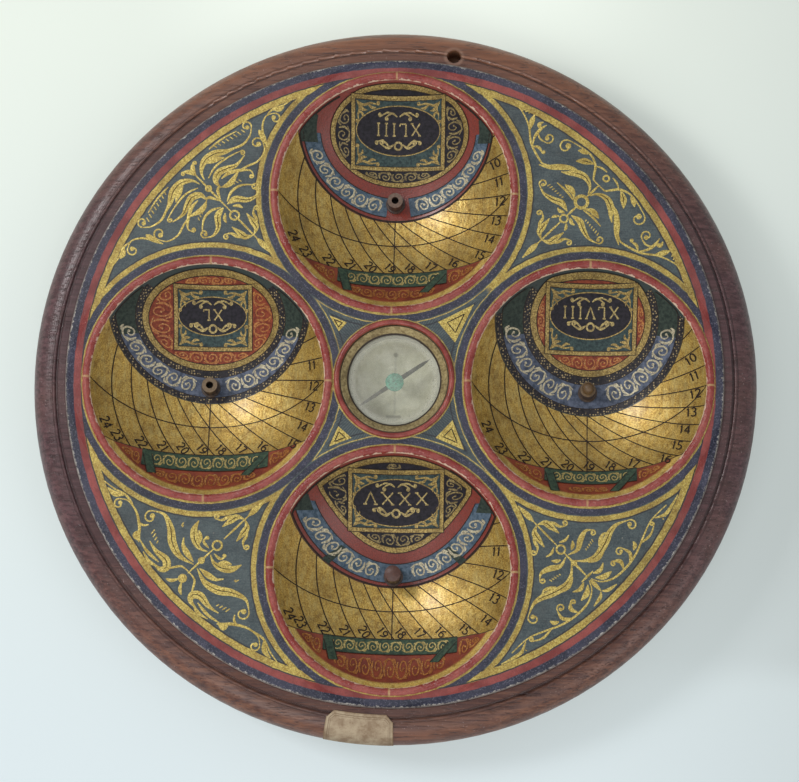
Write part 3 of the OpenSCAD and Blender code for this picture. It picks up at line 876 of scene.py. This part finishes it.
def paint_corners():
    scrolls = Paint("corner_scrollwork", GOLD)
    veins = Paint("scrollwork_veins", INK)
    for angle, parts in CORNERS.items():
        right = spun(on_face, angle - 90)
        for put in (right, mirror(right)):
            for points, width, fat, hook in parts:
                if put is not right and points[0][0] == points[-1][0] == 0:
                    continue
                scrolls.scroll(points, width * 1.15 + 0.05, fat, hook, put, FACE_LIFT)
                if width > 1.6:
                    line = smooth(points)
                    inner = line[len(line) // 4: -len(line) // 4]
                    veins.stroke(inner, swell(len(inner), 0.26, 0.5), put, 0.075)
            for start, end, count, length in CORNER_TICKS[angle]:
                for share in spread(0, 1, count - 1):
                    x, y = between(start, end, share)
                    tick = [(x, y), (x + 0.25, y - length * (0.6 + 0.4 * share))]
                    scrolls.stroke(tick, 0.34, put, FACE_LIFT, 0.03)
        for height, radius, width in CORNER_RINGS[angle]:
            scrolls.stroke(circle(0, height, radius), width, right, 0.03, 0.03)
    scrolls.build()
    veins.build()


def paint_triangles():
    """Four gold triangles between the bowls and the compass."""
    gold = Paint("gold_triangles", GOLD)
    lines = Paint("triangle_lines", INK)
    for triangle in (
        ((23.8, 23.5), (13.0, 17.8), (18.3, 11.5)),
        ((-20.2, 19.3), (-14.8, 17.2), (-17.2, 14.4)),
        ((-16.6, -15.0), (-12.5, -18.5), (-19.3, -21.3)),
        ((18.0, -12.5), (13.0, -18.0), (21.7, -21.6)),
    ):
        middle = [sum(values) / 3 for values in zip(*triangle)]
        outline = []
        for a, b in zip(triangle, triangle[1:] + triangle[:1]):
            outline += [between(a, b, t / 6) for t in range(6)]
        gold.fill(middle, outline, on_face, FACE_LIFT, 3)
        inner = [between(middle, spot, 0.48) for spot in outline + outline[:1]]
        lines.stroke(inner, 0.3, on_face, 0.06)
    gold.build()
    lines.build()


# Bowls


def look_up(pairs, angle):
    """Distance at an angle, held at both ends."""
    if angle <= pairs[0][0]:
        return pairs[0][1]
    for (a, first), (b, second) in zip(pairs, pairs[1:]):
        if a <= angle <= b:
            return first + (second - first) * (angle - a) / max(b - a, 1e-9)
    return pairs[-1][1]


# Width and pen lines of digits and Roman numerals, in a box 100 high
GLYPHS = {
    "0": (62, circle(31, 50, 25, 0, 360, 16, 46)),
    "1": (42, [(8, 76), (22, 98), (22, 0)]),
    "2": (62, circle(30, 72, 25, 165, -35, 10) + [(6, 2), (60, 2)]),
    "3": (60, circle(27, 76, 22, 150, -90, 10) + circle(25, 27, 27, 88, -150, 12)),
    "4": (66, [(46, 0), (46, 98), (4, 30), (64, 30)]),
    "5": (60, [(54, 98), (16, 98), (12, 56)] + circle(26, 30, 28, 110, -150, 12)),
    "6": (62, circle(31, 28, 25, 0, 360, 14), circle(62, 34, 58, 175, 100, 8)),
    "7": (58, [(4, 97), (56, 97), (18, 0)]),
    "8": (60, circle(30, 75, 19, 0, 360, 12), circle(30, 27, 26, 0, 360, 14)),
    "9": (62, circle(31, 72, 25, 0, 360, 14), circle(0, 66, 58, -5, -80, 8)),
    "I": (42, [(20, 0), (20, 100)], [(8, 100), (32, 100)], [(8, 0), (32, 0)]),
    "V": (82, [(6, 100), (40, 0), (74, 100)], [(-4, 100), (20, 100)], [(62, 100), (84, 100)]),
    "X": (84, [(8, 100), (74, 0)], [(74, 100), (8, 0)], [(0, 100), (20, 100)], [(62, 0), (84, 0)]),
    "L": (70, [(16, 100), (16, 2), (62, 2), (66, 22)], [(4, 100), (30, 100)]),
}


def finer(line, step):
    """A line with extra points, so that it follows a hollow."""
    points = [line[0]]
    for a, b in zip(line, line[1:]):
        count = max(1, round(math.dist(a, b) / step))
        points += [between(a, b, t) for t in spread(0, 1, count)[1:]]
    return points


def write(paint, word, height, put, lift, pen, gap=12, wide=1.0):
    """Draws a numeral, centred on the placing's origin along its base line."""
    start = (gap - sum(GLYPHS[sign][0] + gap for sign in word)) / 2
    for sign in word:
        width, *lines = GLYPHS[sign]
        for line in lines:
            path = [((start + x) / 100 * height * wide, y / 100 * height) for x, y in line]
            paint.stroke(finer(path, 0.5), pen, put, lift)
        start += width + gap


# What is painted in each bowl. Cartouche, frame and oval are given by centre and half sizes,
# and the winter ribbon by its left end, right end and depth. Numerals, flourish and height are
# the numeral's base line, the ring's centre and the numeral's height, wide is how far it is
# stretched, and sprig how far above the ring the small scrolls lie.
Plan = namedtuple("Plan", "word shape dark cartouche border frame oval winter numerals flourish "
                          "height wide sprig")
PLANS = {
    "top": Plan("XLIII", "oval", True, (1, 20.5, 21.3, 15), 1.3, (0.5, 21, 14.5, 10.5),
                (0.5, 22, 13, 7), (-17, 16.5, 5), 22.5, 17.9, 3.4, 1.12, 8.2),
    "left": Plan("XL", "oval", False, (0, 20, 21, 14.5), 1.7, (0.5, 20.75, 12, 9.3),
                 (0.3, 21.5, 10.5, 5.5), (-19.5, 19, 5.5), 22, 18, 3, 1.15, 6.8),
    "right": Plan("XLVIII", "oval", False, (0.5, 21, 18.5, 16), 1.8, (0.6, 21.5, 13.9, 10),
                  (0.5, 22.8, 12.5, 6.6), (-13, 15, 4.5), 23.8, 19.8, 3.2, 1.15, 7),
    "bottom": Plan("XXXV", "lens", True, (0.5, 22, 23.5, 14.5), 1.5, (0.5, 22.25, 14.5, 8.8),
                   (0.5, 21.9, 13.2, 6.7), (-20.5, 20, 5), 23.2, 19, 3.4, 1.45, 7.4),
}
FLOURISH = strokes("""
0.8 0.4 0.8: 1.4,0.4 3.2,-0.6 5.2,0.3
0.6 0.4 -0.5: 2.6,-0.5 4.4,1.2 6.6,1.3
""")
TOP_SCROLLS = strokes("""
0.6 0.4 -0.5: 0.4,0 2,0.9 3.8,-0.1
0.5 0.4 0.5: 1.6,0.7 3.4,1.1 5.4,0.1
""")
CORNER_SPRIG = strokes("""
0.7 0.4 -0.5: 1.6,1.6 3.6,2.6 5.8,2 8,2.3
0.7 0.4 0.5: 1.6,1.6 2.5,3.4 2,5.4 2.2,6.8
1.1 0.5 0: 1.9,1.9 3.2,3.6 4.8,3.9
0.8 0.5 0: 5,2.3 6.4,3.2 7.6,3.1
0.7 0.5 0: 2.2,4.2 3.4,5 3.4,6
""")


class BowlPaint:
    """All painted pieces of one bowl. Angles round its cartouche run from straight down."""

    def __init__(self, name):
        self.name = name
        self.plan = PLANS[name]
        self.put = on_bowl(name)
        self.latitude = LATITUDES[name]
        self.centre = self.plan.cartouche[:2]
        self.outline = self.cartouche(*self.plan.cartouche[2:])
        self.cancer = []
        for x, y in self.tropic(OBLIQUITY, 120):
            dx, dy = x - self.centre[0], self.centre[1] - y
            self.cancer.append((math.degrees(math.atan2(dx, dy)), math.hypot(dx, dy)))
        self.cancer.sort()
        self.paints = {}

    def shadow(self, declination, hour_angle):
        """Plan place, from the bowl's centre, where the nodus throws its shadow."""
        pole = Vector((0, -cosine(self.latitude), sine(self.latitude)))
        south = Vector((0, sine(self.latitude), cosine(self.latitude)))
        west = Vector((1, 0, 0))
        across = cosine(hour_angle) * south + sine(hour_angle) * west
        ray = -(sine(declination) * pole + cosine(declination) * across)
        centre = Vector((0, 0, CAP_R - DEPTH))
        along = ray.dot(centre)
        reach = along + math.sqrt(along ** 2 - centre.length_squared + CAP_R ** 2)
        return (ray * reach).x, (ray * reach).y

    def sunset(self, declination):
        """Hour angle of sunset."""
        slopes = math.tan(math.radians(self.latitude)) * math.tan(math.radians(declination))
        return math.degrees(math.acos(-slopes))

    def tropic(self, declination, count):
        """The shadow's way over one day."""
        span = self.sunset(declination)
        return [self.shadow(declination, angle) for angle in spread(-span, span, count)]

    def to_mouth(self, angle, limit):
        """Distance at an angle to the circle of radius limit round the bowl's axis."""
        x, y = self.centre
        along = x * sine(angle) - y * cosine(angle)
        return -along + math.sqrt(along ** 2 - x ** 2 - y ** 2 + limit ** 2)

    def cartouche(self, wide, tall):
        """Outline of the cartouche as distance over angle, cut off along the lip."""
        pairs = []
        for angle in range(-180, 181, 3):
            dx, dy = abs(sine(angle)), cosine(angle)
            if self.plan.shape == "oval":
                distance = 1 / math.sqrt((dx / wide) ** 2 + (dy / tall) ** 2)
            elif dy > -0.17:
                distance = 0.0
                while distance < 40:
                    bend = (dx * distance / wide) ** 2
                    if -dy * distance < 3 * bend - tall * (1 - bend):
                        break
                    distance += 0.1
            else:
                distance = 60.0
            pairs.append((angle, min(distance, self.to_mouth(angle, CARTOUCHE_END))))
        return pairs

    def ray(self, angle, distance):
        """The point at an angle and distance from the cartouche's centre."""
        return self.centre[0] + distance * sine(angle), self.centre[1] - distance * cosine(angle)

    def paint(self, kind, material):
        if kind not in self.paints:
            self.paints[kind] = Paint(f"{self.name}_{kind}", material)
        return self.paints[kind]

    @property
    def gold(self):
        return self.paint("gold", ANTIQUE_SHADED_GOLD)

    def ink(self, points, width, lift):
        self.paint("ink", INK).stroke(points, width, self.put, lift)

    def radius(self, angle, share):
        """Distance from the cartouche's centre: share 0 on the tropic, 1 on the cartouche."""
        inner = look_up(self.outline, angle)
        outer = max(look_up(self.cancer, angle), inner)
        return min(outer + (inner - outer) * share, self.to_mouth(angle, ZONE_END))

    def rows(self, start, end, shares):
        """Rows of points round the cartouche from one angle to another, at shares of the way to it."""
        found = []
        for angle in spread(start, end, max(2, round(abs(end - start) / 2.5))):
            found.append([self.ray(angle, self.radius(angle, share)) for share in shares])
        return found

    def arc(self, paint, start, end, near, far, lift, columns=4):
        """A strip round the cartouche between two shares of the way to it."""
        rows = self.rows(start, end, spread(near, far, columns - 1))
        rows = [row for row in rows if math.dist(row[0], row[-1]) > 0.15]
        if len(rows) > 1:
            paint.sheet(rows, self.put, lift)

    def arc_line(self, start, end, share, width, lift):
        self.ink([row[0] for row in self.rows(start, end, [share])], width, lift)

    def vines(self, end, near, far, pitch, pen, lift):
        """Running ornaments in place of a ribbon's words, from the middle to both sides."""
        for side in (-1, 1):
            band = self.rows(14 * side, end * side, (near, far))
            running_scroll(self.paint("vine", RIBBON_GOLD), band, self.put, pitch, pen, lift)

    def panel(self):
        """The cartouche with its frame, oval, numeral and small scrolls."""
        dark, border = self.plan.dark, self.plan.border
        angles = [180 - 4.5 * k for k in range(80)]

        def loop(inset):
            return [self.ray(a, look_up(self.outline, a) - inset) for a in angles]

        ground = self.paint("cartouche", BLACK if dark else RED_GROUND)
        ground.fill(self.centre, loop(0.3), self.put, GROUND_LIFT, 10)
        rows = list(zip(*(loop(border * c / 2) for c in range(3))))
        self.gold.sheet(rows, self.put, 0.15, True, 0.05)
        for inset in (-0.12, border + 0.12):
            line = loop(inset)
            self.ink(line + line[:1], 0.24, 0.16)
        self.frame()
        self.oval()
        self.corner_sprigs()
        self.scroll_round()

    def frame(self):
        x, y, wide, tall = self.plan.frame
        upward = spread(y - tall, y + tall, 9)
        grid = [[(a, b) for b in upward] for a in spread(x - wide, x + wide, 9)]
        self.paint("inner_ground", BLUE_GREEN).sheet(grid, self.put, 0.19)

        def corner(i, j, inset):
            return x + i * (wide - inset), y + j * (tall - inset)

        corners = ((-1, -1), (1, -1), (1, 1), (-1, 1), (-1, -1))
        for a, b in zip(corners, corners[1:]):
            rows = []
            for t in range(13):
                rows.append([corner(*between(a, b, t / 12), inset) for inset in (0, 0.55, 1.1)])
            self.gold.sheet(rows, self.put, FRAME_LIFT, False, 0.04)
        for inset in (-0.1, 1.2):
            self.ink(finer([corner(i, j, inset) for i, j in corners], 1.5), 0.22, 0.245)

    def oval(self):
        """The oval with its numeral, which stands on its head, and the scrolls round it."""
        plan = self.plan
        x, y, wide, tall = plan.oval
        outline = circle(x, y, wide, 0, 360, 48, tall)
        self.paint("oval", BLACK).fill((x, y), outline[:-1], self.put, FRAME_LIFT, 6)
        self.gold.stroke(outline, 0.3, self.put, 0.28)
        letters = self.paint("numeral", NUMERAL_GOLD)
        upside_down = spun(self.put, 180, x, plan.numerals + plan.height / 2)
        size = plan.height
        write(letters, plan.word, size, upside_down, NUMERAL_LIFT, 0.42, 22, plan.wide)
        y = plan.flourish
        letters.stroke(circle(x, y, 1.1, 0, 360, 16), 0.6, self.put, NUMERAL_LIFT)
        ring, top = (spun(self.put, 0, x, height) for height in (y, y + plan.sprig))
        for turn in (lambda put: put, mirror):
            for parts, place in ((FLOURISH, ring), (TOP_SCROLLS, top)):
                for part in parts:
                    letters.scroll(*part, turn(place), NUMERAL_LIFT)

    def corner_sprigs(self):
        """Scrolls between the oval and the corners of its frame."""
        x, y, wide, tall = self.plan.frame
        for i in (-1, 1):
            for j in (-1, 1):
                def put(a, b, lift, i=i, j=j):
                    return self.put(x + i * (wide - a), y + j * (tall - b), lift)
                for part in CORNER_SPRIG:
                    self.gold.scroll(*part, put, 0.23)

    def room(self, x, y, dx, dy):
        """How far the cartouche's ground goes on from a point of its frame."""
        reach = 0.0
        while reach < 14:
            across = x + dx * reach - self.centre[0]
            down = self.centre[1] - y - dy * reach
            limit = look_up(self.outline, math.degrees(math.atan2(across, down)))
            if math.hypot(across, down) > limit - self.plan.border - 0.5:
                break
            reach += 0.25
        return reach

    def scroll_round(self):
        """Running scrolls between the frame and the border."""
        paint = self.paint("cartouche_scrolls", DIM_GOLD if self.plan.dark else RUST_GOLD)
        x, y, wide, tall = self.plan.frame
        for dx, dy, half in ((1, 0, tall), (-1, 0, tall), (0, 1, wide), (0, -1, wide)):
            band = []
            for along in spread(-half, half, 20):
                start = x + dx * (wide + 0.5) - dy * along, y + dy * (tall + 0.5) + dx * along
                reach = self.room(*start, dx, dy)
                if reach > 0.6:
                    band.append((start, (start[0] + dx * reach, start[1] + dy * reach)))
            if len(band) > 4:
                running_scroll(paint, band, self.put, 4.2, 0.44, 0.135)

    def dotted_zone(self):
        """Ribbon and dotted borders between the tropic of Cancer and a red cartouche."""
        for near, far in ((0.02, 0.19), (0.79, 0.99)):
            self.arc(self.paint("dotted_border", DOTTED), -116, 116, near, far, GROUND_LIFT)
        self.arc(self.paint("ribbon", SMOKE), -78, 78, 0.19, 0.79, GROUND_LIFT, 6)
        green = self.paint("green_ends", DARK_GREEN)
        for side in (-1, 1):
            self.arc(green, 78 * side, 122 * side, 0.19, 0.79, GROUND_LIFT, 6)
        self.vines(84, 0.26, 0.72, 4.5, 0.55, 0.14)
        for share in (0.19, 0.79):
            self.arc_line(-112, 112, share, 0.22, 0.135)

    def red_zone(self):
        """Ribbon and green bars between the tropic of Cancer and a dark cartouche."""
        ribbon = self.paint("ribbon", RIBBON)
        green = self.paint("green_ends", DARK_GREEN)
        start = 9 if self.name == "top" else 0
        for side in (-1, 1):
            self.arc(ribbon, start * side, 88 * side, 0.14, 0.68, GROUND_LIFT, 6)
            self.arc(green, 82 * side, 99 * side, 0.05, 0.56, 0.14, 5)
            if start == 0:
                self.arc(green, 47 * side, 52 * side, 0.02, 0.60, 0.14, 5)
            for share in (0.14, 0.68):
                self.arc_line(start * side, 88 * side, share, 0.24, 0.145)
        self.vines(78, 0.21, 0.61, 4.3, 0.55, 0.15)
        self.arc_line(-118, 118, 0.03, 0.5, GROUND_LIFT)

    def winter_zone(self):
        """Ribbon and scrolls beyond the tropic of Capricorn."""
        left, right, depth = self.plan.winter
        tropic = self.tropic(-OBLIQUITY, 80)

        def edge(x):
            for (x0, y0), (x1, y1) in zip(tropic, tropic[1:]):
                if min(x0, x1) <= x <= max(x0, x1):
                    return y0 + (y1 - y0) * (x - x0) / ((x1 - x0) or 1e-9)
            return tropic[0][1]

        def ribbon(rows, lift, pen_lift, pen):
            self.paint("winter_ribbon", GREEN).sheet(rows, self.put, lift)
            for column in (0, -1):
                self.ink([row[column] for row in rows], pen, pen_lift)

        rows = []
        for x in spread(left, right, 16):
            top = edge(x) + 0.3
            rows.append([(x, y) for y in spread(top, top - depth, 3)])
        ribbon(rows, GROUND_LIFT, 0.14, 0.26)
        for x, lean, inward in ((left, 0.5, 1), (right, -1.5, -1)):
            top = edge(x) - 1.2
            tail = []
            for t in range(4):
                near = x + lean * t * 1.2
                tail.append([(near + inward * across, top - 2.2 * t) for across in (0.2, 2.8)])
            ribbon(tail, 0.14, 0.175, 0.22)
        vine = self.paint("winter_vine", PALE_GOLD)
        inner = [((x0, y0 - 0.8), (x1, y1 + 0.8)) for (x0, y0), *_, (x1, y1) in rows[1:-1]]
        running_scroll(vine, inner, self.put, 3.7, 0.42, 0.14)
        scrolls = self.paint("winter_scrolls", RUST_GOLD)
        for start, end in ((-27, left - 0.5), (left + 3.5, right - 3.5), (right + 0.5, 27)):
            band = []
            for x in spread(start, end, 16):
                low = 0.9 - math.sqrt(max(0.0, SCROLLS_END ** 2 - x * x))
                high = edge(x) - 0.8 - (depth if left < x < right else 0.0)
                if high - low > 0.6:
                    band.append(((x, low), (x, high)))
            if len(band) > 3:
                running_scroll(scrolls, band, self.put, 3.8, 0.5, GROUND_LIFT)

    def line(self, points):
        """An inked line of the net, where it lies inside the lip."""
        inside = [p for p in points if math.hypot(*p) < NET_END]
        if len(inside) > 3:
            self.paint("net_ink", INK).stroke(inside, 0.3, self.put, NET_LIFT)
        return inside

    def hours(self):
        """The inked net, and numbers beside the lower ends of the hour lines."""
        numbers = self.paint("hour_numbers", INK)
        height = 2.7

        def number(word, turn, x, y):
            write(numbers, word, height, spun(self.put, turn, x, y), GROUND_LIFT, 0.40, 10)

        gap = height + 0.3
        # Declinations from just inside one tropic to just inside the other
        steps = [OBLIQUITY * 0.995 * step / 40 for step in range(-40, 41)]
        self.line([self.shadow(0, angle) for angle in spread(-89, 89, 120)])
        self.line([self.shadow(declination, 0) for declination in steps])
        first = math.ceil(24 - 2 * self.sunset(OBLIQUITY) / 15)
        for hour in range(first, 24):
            before_sunset = (24 - hour) * 15
            path = []
            for declination in steps:
                sunset = self.sunset(declination)
                if before_sunset < 2 * sunset:
                    path.append(self.shadow(declination, sunset - before_sunset))
            path = self.line(path)
            if len(path) < 12:
                continue
            end, inner = path[0], path[6]
            outward = math.degrees(math.atan2(end[1] - inner[1], end[0] - inner[0]))
            out = Vector((cosine(outward), sine(outward)))
            edge = Vector(end).normalized()
            if math.hypot(*end) < 34.0:
                beside = self.shadow(-OBLIQUITY, self.sunset(-OBLIQUITY) - before_sunset + 2)
                edge = Vector((beside[1] - end[1], end[0] - beside[0]))
            slant = (out.y * edge.x - out.x * edge.y) / out.dot(edge)
            back = 2.2 + gap * max(0.0, slant)
            spot = end[0] - back * out.x + gap * out.y, end[1] - back * out.y - gap * out.x
            number(str(hour), outward, *spot)
        number("24", -62, -31.6, -14.2)

    def build(self):
        self.panel()
        if self.plan.dark:
            self.red_zone()
        else:
            self.dotted_zone()
        self.winter_zone()
        self.hours()
        for paint in self.paints.values():
            paint.build()


LOOKS = {
    "turned_tray": walnut(),
    "painted_panel": painted_face(),
    "gnomon_foot_top": worn_wood("foot_dark", (36, 26, 24), (78, 58, 48), (122, 96, 78)),
    "gnomon_foot_left": worn_wood("foot_brown", (34, 26, 22), (76, 58, 44), (128, 104, 72)),
    "gnomon_pin_right": worn_wood("pin_pale", (48, 34, 24), (88, 66, 42), (100, 76, 48)),
    "gnomon_pin_bottom": worn_wood("pin_brown", (44, 26, 22), (80, 50, 40), (84, 52, 42)),
    "compass_cup": stained_metal("old_brass", 1.5, 0.35, (150, 124, 70), (104, 84, 48), 0.7, 0.05),
    "compass_card": compass_card(),
    "compass_needle": stained_metal("needle_steel", 1, 0.4, (52, 58, 66), (84, 80, 78), 0.55, 0.04),
    "needle_cap": verdigris(),
    "compass_glass": compass_glass(),
    "glass_ring": old_ring(),
    "compass_bezel": bezel_red(),
    "paper_label": label_paper(),
}
LOOKS["gnomon_foot_bottom"] = LOOKS["gnomon_foot_top"]
LOOKS["gnomon_foot_right"] = LOOKS["gnomon_foot_left"]
LOOKS["pivot_pin"] = LOOKS["compass_cup"]
for bowl in LATITUDES:
    LOOKS["bowl_cup_" + bowl] = red_lip(bowl)
    LOOKS["gilt_lining_" + bowl] = gilt(bowl)
for node, material in LOOKS.items():
    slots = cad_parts[node].data.materials
    slots.clear()
    slots.append(material)

paint_corners()
paint_triangles()
for bowl in LATITUDES:
    BowlPaint(bowl).build()


# Floor, light and camera


def make_floor():
    mesh = bpy.data.meshes.new("floor")
    shape = bmesh.new()
    bmesh.ops.create_grid(shape, x_segments=1, y_segments=1, size=3.0)
    shape.to_mesh(mesh)
    shape.free()
    s = Shader("floor_paper")
    # Painted light: the floor is lighter towards the top
    s.colour = s.tones(s.y, -150, 150, (163, 172, 178), (184, 188, 176))
    # Painted light above the dial, and a painted shadow to its right
    s.lay(s.y.rise(95, 120) * abs(s.x).fall(20, 90, 0.5), 226, 230, 216)
    shaded = s.y.rise(-92, -78, 0.5, 1) * s.y.rise(-60, 90, 1, 0.45)
    s.lay(s.x.rise(40, 170, 0, 0.92) * shaded, 108, 112, 114)
    rays = [s.node("LightPath", (), f"Is {kind} Ray") for kind in ("Camera", "Glossy", "Transmission")]
    seen = rays[0].either(rays[1].either(rays[2]))
    s.surface.inputs["Emission Color"].default_value = rgb(226, 236, 232)
    s.feed(s.surface.inputs["Emission Strength"], seen * 0.43)
    mesh.materials.append(s.finish(0.9, specular=0))
    floor = add_object("floor", mesh)


def area_light(name, place, size, power):
    """A square lamp that points at the middle of the dial."""
    light = bpy.data.lights.new(name, "AREA")
    light.shape = "SQUARE"
    light.size = size
    light.energy = power
    lamp = add_object(name, light)
    lamp.location = place
    lamp.rotation_mode = "QUATERNION"
    lamp.rotation_quaternion = (-Vector(place)).to_track_quat("-Z", "Y")
    return lamp


def make_light():
    world = bpy.data.worlds.new("studio")
    world.use_nodes = True
    background = world.node_tree.nodes["Background"]
    background.inputs["Color"].default_value = (0.93, 0.97, 1.0, 1.0)
    background.inputs["Strength"].default_value = 0.50
    bpy.context.scene.world = world
    area_light("key", (-0.90, 0.20, 0.84), 0.34, 7.4).visible_glossy = False
    area_light("glint", (-0.72, 0.56, 1.12), 0.28, 8.0).visible_diffuse = False
    area_light("front", (-0.3, -0.9, 1.1), 0.9, 6.0)
    area_light("side", (0.9, -0.8, 0.9), 0.9, 3.6)


def make_camera():
    """The photograph's view: the dial seen from almost straight above."""
    turn = Vector((-10.5, -1.47, -1.18))
    rotation = Matrix.Rotation(math.radians(turn.length), 4, turn.normalized())
    shift = Matrix.Translation(Vector((-1.64, 3.74, -1096.0)) * MM)
    down = Matrix.Translation(Vector((0, 0, -FACE_Z)) * MM)
    data = bpy.data.cameras.new("camera")
    data.sensor_width = SENSOR
    data.lens = FOCAL_LENGTH * SENSOR / PHOTO_WIDTH
    camera = add_object("camera", data)
    camera.matrix_world = (shift @ rotation @ down).inverted()
    bpy.context.scene.camera = camera


make_floor()
make_light()
make_camera()
bpy.context.scene.view_settings.view_transform = "Standard"

bpy.context.view_layer.update()
